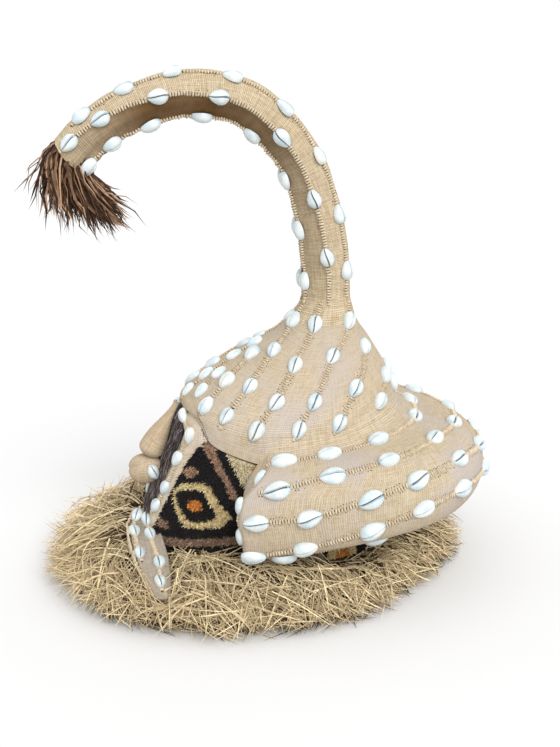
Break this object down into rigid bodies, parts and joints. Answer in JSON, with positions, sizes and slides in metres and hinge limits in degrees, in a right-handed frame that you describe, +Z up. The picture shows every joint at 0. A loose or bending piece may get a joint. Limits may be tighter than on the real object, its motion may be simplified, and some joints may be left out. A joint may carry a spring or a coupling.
{
  "type": "ceremonial helmet mask",
  "caption": "Helmet mask of raffia cloth with an arching trunk, cowrie rows, padded side roll, cut-pile panels, fur face and raffia collar, open below for the head.",
  "frame": {"origin": "middle of the mask's bounding box, on the plane it stands on", "axes": "+Z up along the head, -Y the way the face and trunk point, +X the wearer's left"},
  "size_m": [0.374, 0.4786, 0.5199],
  "materials": {
    "raffia_cloth": "plain woven raffia, matt, a little uneven in tone",
    "pale_cloth": "plain woven raffia, paler, worn grey in places",
    "cut_pile": "cut-pile cloth, black ground with golden, brown and orange diamonds",
    "dark_fur": "long dark brown and grey hair",
    "cowrie_and_cord": "glossy white cowrie shells on a stitched raffia cord",
    "straw_raffia": "loose golden raffia fibres",
    "dark_raffia": "coarse reddish brown raffia fibres",
    "inner_cane": "bare cane and rough cloth on the inside"
  },
  "bodies": {
    "root": {"helmet_shell": "inner_cane", "crown": "raffia_cloth", "trunk": "raffia_cloth", "trunk_tuft": "dark_raffia", "side_roll": "raffia_cloth", "raffia_collar": "straw_raffia", "face_fur": "dark_fur", "face_border": "pale_cloth", "pile_cloth": "cut_pile", "nose": "pale_cloth", "mouth": "pale_cloth", "beard_flap": "pale_cloth", "trunk_row_left_outer": "cowrie_and_cord", "trunk_row_left_side": "cowrie_and_cord", "trunk_row_left_inner": "cowrie_and_cord", "trunk_row_right_outer": "cowrie_and_cord", "trunk_row_right_side": "cowrie_and_cord", "trunk_row_right_inner": "cowrie_and_cord", "crown_row_front": "cowrie_and_cord", "crown_row_left_1": "cowrie_and_cord", "crown_row_right_1": "cowrie_and_cord", "crown_row_left_2": "cowrie_and_cord", "crown_row_right_2": "cowrie_and_cord", "crown_row_left_3": "cowrie_and_cord", "crown_row_right_3": "cowrie_and_cord", "crown_row_left_4": "cowrie_and_cord", "crown_row_right_4": "cowrie_and_cord", "crown_row_left_5": "cowrie_and_cord", "crown_row_right_5": "cowrie_and_cord", "crown_row_left_6": "cowrie_and_cord", "crown_row_right_6": "cowrie_and_cord", "crown_row_left_7": "cowrie_and_cord", "crown_row_right_7": "cowrie_and_cord", "crown_row_left_8": "cowrie_and_cord", "crown_row_right_8": "cowrie_and_cord", "roll_row_1": "cowrie_and_cord", "roll_row_2": "cowrie_and_cord", "roll_row_3": "cowrie_and_cord", "roll_row_4": "cowrie_and_cord", "roll_row_5": "cowrie_and_cord", "roll_end_row_left": "cowrie_and_cord", "roll_end_row_right": "cowrie_and_cord", "face_row_left": "cowrie_and_cord", "face_row_right": "cowrie_and_cord", "mouth_shell_left": "cowrie_and_cord", "mouth_shell_right": "cowrie_and_cord", "flap_row_front": "cowrie_and_cord", "flap_row_back": "cowrie_and_cord"}
  },
  "joints": []
}
